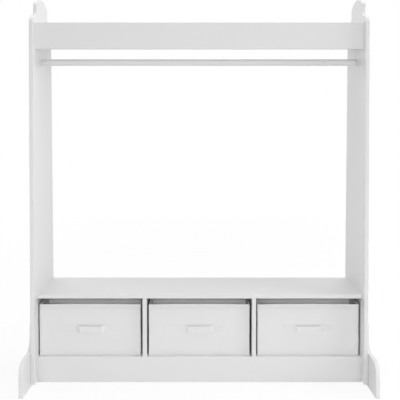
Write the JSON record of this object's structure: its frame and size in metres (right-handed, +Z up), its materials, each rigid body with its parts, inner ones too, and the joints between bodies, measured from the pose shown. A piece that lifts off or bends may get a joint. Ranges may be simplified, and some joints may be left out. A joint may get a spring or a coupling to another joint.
{
  "type": "kids wardrobe",
  "caption": "Low open wardrobe for a child: scalloped side panels on ogee feet carry a top shelf with a rail, a hanging rod and a bench over pull-out fabric bins.",
  "frame": {"origin": "on the floor, under the middle of the wardrobe", "axes": "+X to the right seen from the front, +Y to the back, +Z up"},
  "size_m": [1, 0.4, 1.133],
  "materials": {
    "white_board": "satin white paint on board",
    "white_rod": "satin white paint",
    "back_board": "white faced hardboard",
    "bin_fabric": "white non-woven cloth",
    "bin_binding": "white binding tape",
    "bin_strap": "white webbing",
    "bin_card": "grey board",
    "screw_steel": "zinc plated",
    "cap_plastic": "white moulded",
    "dowel_wood": "plain beech"
  },
  "bodies": {
    "frame": {"left_side_panel": "white_board", "right_side_panel": "white_board", "left_foot": "white_board", "right_foot": "white_board", "top_rail": "white_board", "top_shelf": "white_board", "bench_top": "white_board", "bottom_shelf": "white_board", "front_plinth": "white_board", "left_divider": "white_board", "right_divider": "white_board", "back_panel": "back_board", "hanging_rod": "white_rod", "panel_screws": "screw_steel", "divider_screws": "screw_steel", "foot_screws": "screw_steel", "screw_caps": "cap_plastic", "wood_dowels": "dowel_wood"},
    "left_bin": {"left_bin_shell": "bin_fabric", "left_bin_wall_boards": "bin_card", "left_bin_base_board": "bin_card", "left_bin_rim": "bin_binding", "left_bin_handle": "bin_strap"},
    "middle_bin": {"middle_bin_shell": "bin_fabric", "middle_bin_wall_boards": "bin_card", "middle_bin_base_board": "bin_card", "middle_bin_rim": "bin_binding", "middle_bin_handle": "bin_strap"},
    "right_bin": {"right_bin_shell": "bin_fabric", "right_bin_wall_boards": "bin_card", "right_bin_base_board": "bin_card", "right_bin_rim": "bin_binding", "right_bin_handle": "bin_strap"}
  },
  "joints": [
    {"name": "left_bin_slide", "type": "slide", "parent": "frame", "child": "left_bin", "axis": [0, -1, 0], "range_m": [-0.058, 0.165]},
    {"name": "middle_bin_slide", "type": "slide", "parent": "frame", "child": "middle_bin", "axis": [0, -1, 0], "range_m": [-0.058, 0.165]},
    {"name": "right_bin_slide", "type": "slide", "parent": "frame", "child": "right_bin", "axis": [0, -1, 0], "range_m": [-0.058, 0.165]}
  ]
}
